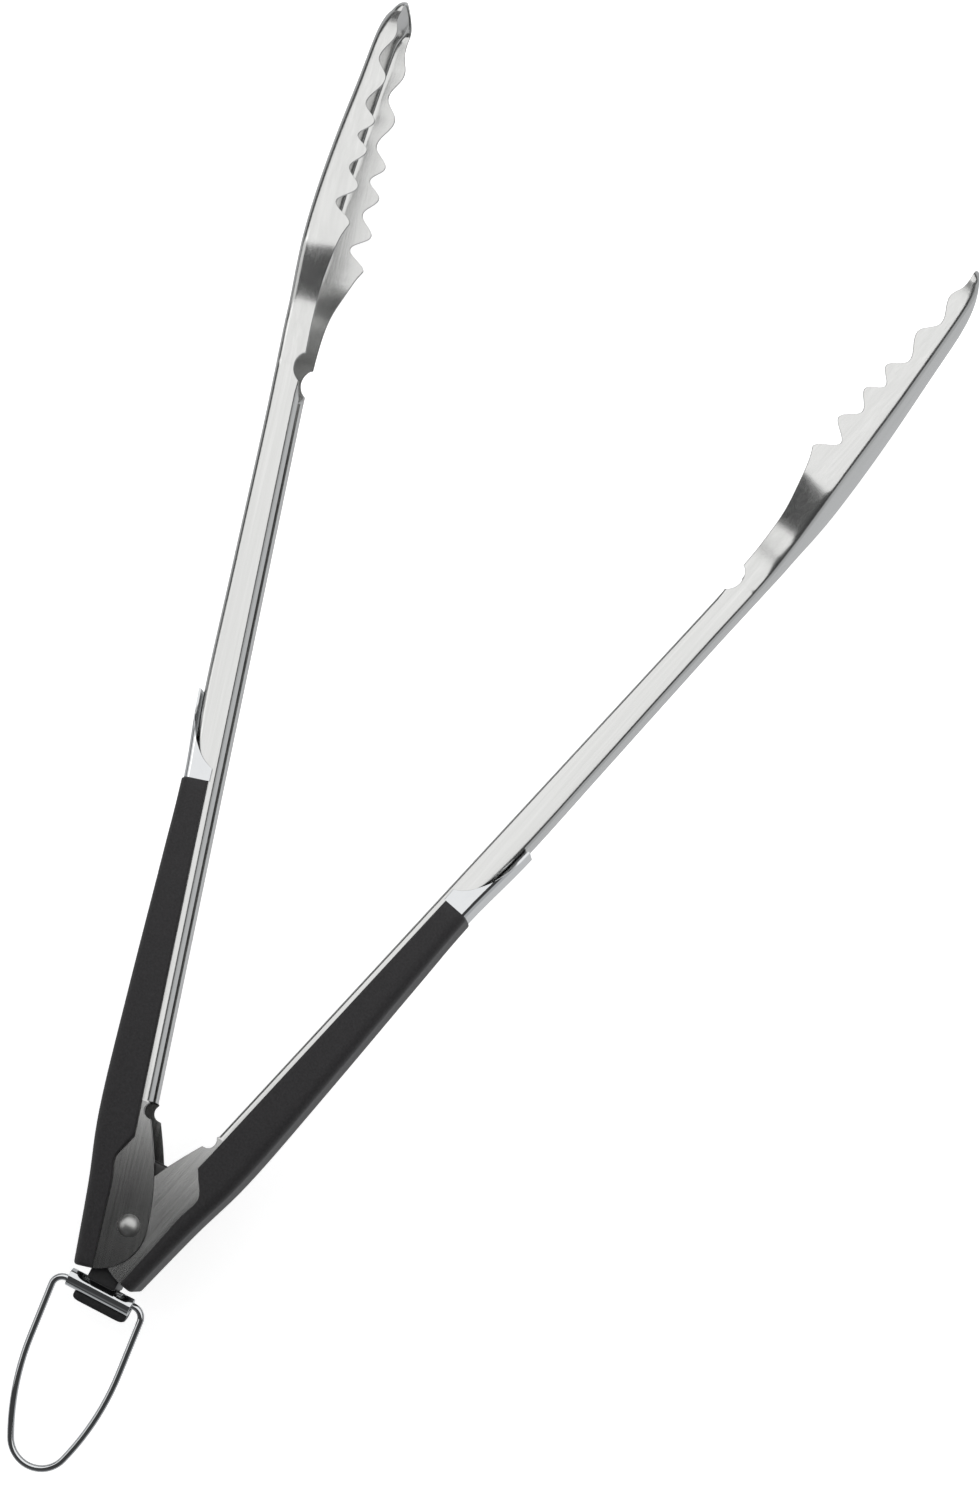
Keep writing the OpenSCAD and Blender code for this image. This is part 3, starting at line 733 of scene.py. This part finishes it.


def brushed(name, color, rough, angle, grain=0.25, dark=0.74, heel=1.0):
    """Satin steel with fine brushing along a direction in the row frame.

    heel is how much darker the painted shade makes the steel round the pivot than the rest.
    """
    material, shader, add, link = node_material(name)
    shader.inputs["Metallic"].default_value = 1
    coords = add("ShaderNodeTexCoord")
    turned = add("ShaderNodeMapping", {"Vector": coords.outputs["Object"],
                                       "Rotation": (0, 0, angle)}, vector_type="POINT")
    long = add("ShaderNodeMapping", {"Vector": turned.outputs[0], "Scale": (1700, 30, 1700)})
    lines = add("ShaderNodeTexNoise", {"Vector": long.outputs[0], "Scale": 1, "Detail": 4,
                                       "Roughness": 0.6})
    wide = add("ShaderNodeMapping", {"Vector": turned.outputs[0], "Scale": (520, 9, 520)})
    bands = add("ShaderNodeTexNoise", {"Vector": wide.outputs[0], "Scale": 1, "Detail": 2})
    cloud = add("ShaderNodeTexNoise", {"Vector": coords.outputs["Object"], "Scale": 60,
                                       "Detail": 3})
    both = add("ShaderNodeMath", {0: lines.outputs["Fac"], 1: bands.outputs["Fac"]},
               operation="MULTIPLY")
    mixed = add("ShaderNodeMix", {"Factor": both.outputs[0], "A": (*[c * dark for c in color], 1),
                                  "B": (*color, 1)}, data_type="RGBA")
    # Painted shade: the base colour is darkened near the pivot, standing in for the dark
    # reflection that falls on the cheeks there.
    centre = add("ShaderNodeVectorMath", {0: coords.outputs["Object"], 1: tuple(PIVOT)},
                 operation="DISTANCE")
    painted_shade = add("ShaderNodeMapRange", {"Value": centre.outputs["Value"], "From Min": PAINTED_SHADE_FROM,
                                      "From Max": PAINTED_SHADE_TO, "To Min": heel, "To Max": 1.0},
               interpolation_type="SMOOTHSTEP")
    finish = add("ShaderNodeMix", {"Factor": 1.0, "A": mixed.outputs["Result"],
                                   "B": painted_shade.outputs[0]}, data_type="RGBA", blend_type="MULTIPLY")
    link(finish.outputs["Result"], shader.inputs["Base Color"])
    rough_lines = spread(add, lines.outputs["Fac"], rough - 0.05, rough + 0.07)
    rough_cloud = spread(add, cloud.outputs["Fac"], -0.03, 0.04)
    total = add("ShaderNodeMath", {0: rough_lines, 1: rough_cloud}, operation="ADD")
    link(total.outputs[0], shader.inputs["Roughness"])
    bump = add("ShaderNodeBump", {"Strength": grain, "Distance": 0.00004,
                                  "Height": lines.outputs["Fac"]})
    link(bump.outputs[0], shader.inputs["Normal"])
    return material


def chrome(name, color=(0.62, 0.63, 0.64), rough=0.06):
    """Polished plate with faint handling marks."""
    material, shader, add, link = node_material(name)
    shader.inputs["Metallic"].default_value = 1
    coords = add("ShaderNodeTexCoord")
    cloud = add("ShaderNodeTexNoise", {"Vector": coords.outputs["Object"], "Scale": 220,
                                       "Detail": 4, "Roughness": 0.6})
    fine = add("ShaderNodeTexNoise", {"Vector": coords.outputs["Object"], "Scale": 1800,
                                      "Detail": 2})
    mixed = add("ShaderNodeMix", {"Factor": cloud.outputs["Fac"],
                                  "A": (*[c * 0.93 for c in color], 1), "B": (*color, 1)},
                data_type="RGBA")
    link(mixed.outputs["Result"], shader.inputs["Base Color"])
    link(spread(add, cloud.outputs["Fac"], rough * 0.5, rough * 1.5), shader.inputs["Roughness"])
    bump = add("ShaderNodeBump", {"Strength": 0.05, "Distance": 0.00002,
                                  "Height": fine.outputs["Fac"]})
    link(bump.outputs[0], shader.inputs["Normal"])
    return material


def moulded(name, color, rough, grain_scale, grain, speckle=0.4, sheen=0.0):
    """Rubber or plastic with a fine moulded grain and slight colour variation."""
    material, shader, add, link = node_material(name)
    shader.inputs["Sheen Weight"].default_value = sheen
    shader.inputs["Sheen Roughness"].default_value = 0.6
    shader.inputs["Specular IOR Level"].default_value = 0.35
    coords = add("ShaderNodeTexCoord")
    grit = add("ShaderNodeTexNoise", {"Vector": coords.outputs["Object"], "Scale": grain_scale,
                                      "Detail": 3, "Roughness": 0.65})
    cloud = add("ShaderNodeTexNoise", {"Vector": coords.outputs["Object"], "Scale": 90,
                                       "Detail": 3})
    contrast = spread(add, grit.outputs["Fac"], 1 - speckle, 1 + speckle)
    drift = spread(add, cloud.outputs["Fac"], 0.92, 1.08)
    value = add("ShaderNodeMath", {0: contrast, 1: drift}, operation="MULTIPLY")
    tint = add("ShaderNodeMix", {"Factor": 1.0, "A": (*color, 1), "B": value.outputs[0]},
               data_type="RGBA", blend_type="MULTIPLY")
    link(tint.outputs["Result"], shader.inputs["Base Color"])
    link(spread(add, grit.outputs["Fac"], rough - 0.06, rough + 0.08), shader.inputs["Roughness"])
    bump = add("ShaderNodeBump", {"Strength": grain, "Distance": 0.00012,
                                  "Height": grit.outputs["Fac"]})
    link(bump.outputs[0], shader.inputs["Normal"])
    return material


STEEL_COLOR = (0.73, 0.73, 0.72)
# Each arm's copy is brushed along its own arm; the outer one's heel value paints much deeper shade
# round the pivot than the inner one's.
steel = {side: brushed(f"brushed_steel_{word}", STEEL_COLOR, 0.2, side * OPEN_ANGLE, heel=heel)
         for side, word, heel in ((1, "inner", 0.9), (-1, "outer", 0.42))}
chrome_plate = chrome("chrome_plate")
satin = brushed("satin_rivet_steel", (0.6, 0.6, 0.59), 0.42, 0.3, grain=0.1)
spring_steel = brushed("drawn_spring_steel", (0.45, 0.45, 0.44), 0.3, 0)
black_steel = brushed("blackened_steel", (0.09, 0.09, 0.09), 0.4, 0, dark=0.6)
rubber = moulded("soft_touch_rubber", (0.021, 0.02, 0.0215), 0.6, 1500, 0.7, speckle=0.9,
                 sheen=0.06)
nylon = moulded("carrier_nylon", (0.02, 0.02, 0.02), 0.5, 1500, 0.3)
tab_plastic = moulded("tab_plastic", (0.025, 0.025, 0.026), 0.38, 1300, 0.25)


def dress(obj, material, body, slot, *nodes):
    """Gives a piece its finish and body, and says which CAD nodes it stands for."""
    obj.data.materials.clear()
    obj.data.materials.append(material)
    if body:
        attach(obj, body)
    if nodes:
        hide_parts(*nodes)
    return obj


def dress_node(node, material):
    """A better material on a CAD node that stays."""
    obj = frame["nodes"][node]
    obj.data.materials.clear()
    obj.data.materials.append(material)


# ---------------------------------------------------------------- the tongs

ARMS = (("outer", OUTER_W, -1, OUTER_STEP), ("inner", INNER_W, 1, INNER_STEP))
for word, width, side, step in ARMS:
    body = f"{word}_arm_body"
    dress(arm(f"{word}_arm_sheet", width, side), steel[side], body, "brushed_steel",
          f"{word}_arm")
    dress(grip_layer(f"{word}_grip_skin", width, CARRIER_T, GRIP_T, step, side, 1.1), rubber,
          body, "soft_grip", f"{word}_grip")
    dress(grip_layer(f"{word}_carrier_shell", width, 0, CARRIER_T, step, side, 0.3), nylon,
          body, "carrier_plastic", f"{word}_grip_carrier")
    dress(ferrule(f"{word}_ferrule_shell", width, side), chrome_plate, body, "chrome",
          f"{word}_ferrule")

dress(rivet(), satin, "outer_arm_body", "rivet_steel", "pivot_rivet")
dress(lock_slider(), black_steel, "lock_body", "slider_steel", "lock_slider")
dress(pull_tab(), tab_plastic, "lock_body", "tab_plastic", "pull_tab")
dress(hinge_tube(), chrome_plate, "lock_body", "chrome", "hinge_tube")
dress(bail(), chrome_plate, "bail_body", "chrome", "hanging_bail")
spring = dress(torsion_spring(), spring_steel, None, "spring_steel", "torsion_spring")
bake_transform(spring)
dress_node("pivot_sleeve", satin)
dress_node("tab_pin", satin)


# ---------------------------------------------------------------- stage

CAMERA_FROM_PIVOT = (0.146089, 0.059482, 1.071972)
CAMERA_TURN = (8.435, 2.596, 26.873)      # degrees
LENS, SENSOR_HEIGHT = 84, 36

# Brightness of the room, for light and reflections: dim, with a little more behind the heels,
# least of all just above the horizon, and pale below it. Each edge says where one level fades
# into the next, as a coordinate of the direction looked in.
ROOM_COLOR = (0.97, 0.985, 1, 1)
ROOM_LIGHT = 0.07
REAR_EDGE, REAR_LIGHT = (-0.9, -0.7), 0.19
HORIZON_EDGE, HORIZON_SHARE = (0.05, 0.55), 0.15
BELOW_EDGE, BELOW_LIGHT = (-0.14, 0.03), 0.6
BACKDROP_LIGHT = 0.9
FLOOR_HALF, FLOOR_DROP, FLOOR_GLOW = 6.0, 0.0005, 0.7

# The soft box above the arms ends over the heels, so they stay dark: rear edge, height over the
# pivot, width, length and brightness. The one on the left picks out the bail's wire.
BOX_EDGE, BOX_HEIGHT, BOX_WIDE, BOX_LONG, BOX_LIGHT = -0.13, 0.42, 1.6, 1.3, 1.22
SIDE_BOX, SIDE_HEIGHT, SIDE_WIDE, SIDE_LIGHT = (-0.62, -0.32), 0.36, 0.5, 0.9


def add_camera():
    """The camera looks down on the lying tongs, its place counted from the pivot."""
    data = bpy.data.cameras.new("camera")
    data.sensor_fit = "VERTICAL"
    data.sensor_height = SENSOR_HEIGHT
    data.lens = LENS
    data.clip_start = 0.05
    camera = bpy.data.objects.new("camera", data)
    camera.location = Vector(PIVOT) + Vector(CAMERA_FROM_PIVOT)
    camera.rotation_euler = Euler([math.radians(a) for a in CAMERA_TURN])
    bpy.context.scene.collection.objects.link(camera)
    bpy.context.scene.camera = camera


def add_floor():
    """A plain white floor, large enough for every view; metal doesn't mirror it."""
    half = FLOOR_HALF
    mesh = bpy.data.meshes.new("floor")
    mesh.from_pydata([(-half, -half, 0), (half, -half, 0), (half, half, 0), (-half, half, 0)],
                     [], [(0, 1, 2, 3)])
    floor = bpy.data.objects.new("floor", mesh)
    floor.location.z = -FLOOR_DROP
    bpy.context.scene.collection.objects.link(floor)
    material, shader = node_material("floor_white")[:2]
    shader.inputs["Base Color"].default_value = (0.8, 0.8, 0.8, 1)
    shader.inputs["Roughness"].default_value = 0.9
    shader.inputs["Emission Color"].default_value = (1, 1, 1, 1)
    shader.inputs["Emission Strength"].default_value = FLOOR_GLOW
    mesh.materials.append(material)
    floor.visible_glossy = False


def add_softbox(name, place_at, aim, wide, long, brightness):
    """A rectangular soft light that faces aim."""
    data = bpy.data.lights.new(name, "AREA")
    data.shape = "RECTANGLE"
    data.size, data.size_y = wide, long
    data.energy = math.pi * brightness * wide * long
    light = bpy.data.objects.new(name, data)
    light.location = place_at
    light.rotation_euler = (Vector(aim) - Vector(place_at)).to_track_quat("-Z", "Y").to_euler()
    light.visible_camera = False
    bpy.context.scene.collection.objects.link(light)


def add_light():
    """Soft studio light: two soft boxes in a dim room, seen as pale where nothing stands."""
    world = bpy.data.worlds.new("room")
    world.use_nodes = True
    tree = world.node_tree
    coords = tree.nodes.new("ShaderNodeTexCoord")
    way = tree.nodes.new("ShaderNodeSeparateXYZ")
    view = tree.nodes.new("ShaderNodeLightPath")
    background = tree.nodes["Background"]
    background.inputs["Color"].default_value = ROOM_COLOR
    tree.links.new(coords.outputs["Generated"], way.inputs[0])

    def fade(source, start, end, low, high):
        node = tree.nodes.new("ShaderNodeMapRange")
        node.interpolation_type = "SMOOTHSTEP"
        for key, value in (("From Min", start), ("From Max", end), ("To Min", low),
                           ("To Max", high)):
            node.inputs[key].default_value = value
        tree.links.new(source, node.inputs["Value"])
        return node.outputs[0]

    def combine(first, second, operation):
        node = tree.nodes.new("ShaderNodeMath")
        node.operation = operation
        tree.links.new(first, node.inputs[0])
        tree.links.new(second, node.inputs[1])
        return node.outputs[0]

    rear = fade(way.outputs["Y"], *REAR_EDGE, REAR_LIGHT, ROOM_LIGHT)
    height = fade(way.outputs["Z"], *HORIZON_EDGE, HORIZON_SHARE, 1)
    below = fade(way.outputs["Z"], *BELOW_EDGE, BELOW_LIGHT, ROOM_LIGHT)
    backdrop = fade(view.outputs["Is Camera Ray"], 0, 1, 0, BACKDROP_LIGHT)
    level = combine(combine(rear, height, "MULTIPLY"), below, "MAXIMUM")
    tree.links.new(combine(level, backdrop, "MAXIMUM"), background.inputs["Strength"])
    bpy.context.scene.world = world

    above = Vector((0, BOX_EDGE + BOX_LONG / 2, PIVOT[2] + BOX_HEIGHT))
    add_softbox("box_above", above, above - Vector((0, 0, 1)), BOX_WIDE, BOX_LONG, BOX_LIGHT)
    add_softbox("box_left", (*SIDE_BOX, PIVOT[2] + SIDE_HEIGHT), TUBE, SIDE_WIDE, SIDE_WIDE,
                SIDE_LIGHT)


add_camera()
add_floor()
add_light()
bpy.context.scene.view_settings.view_transform = "Standard"
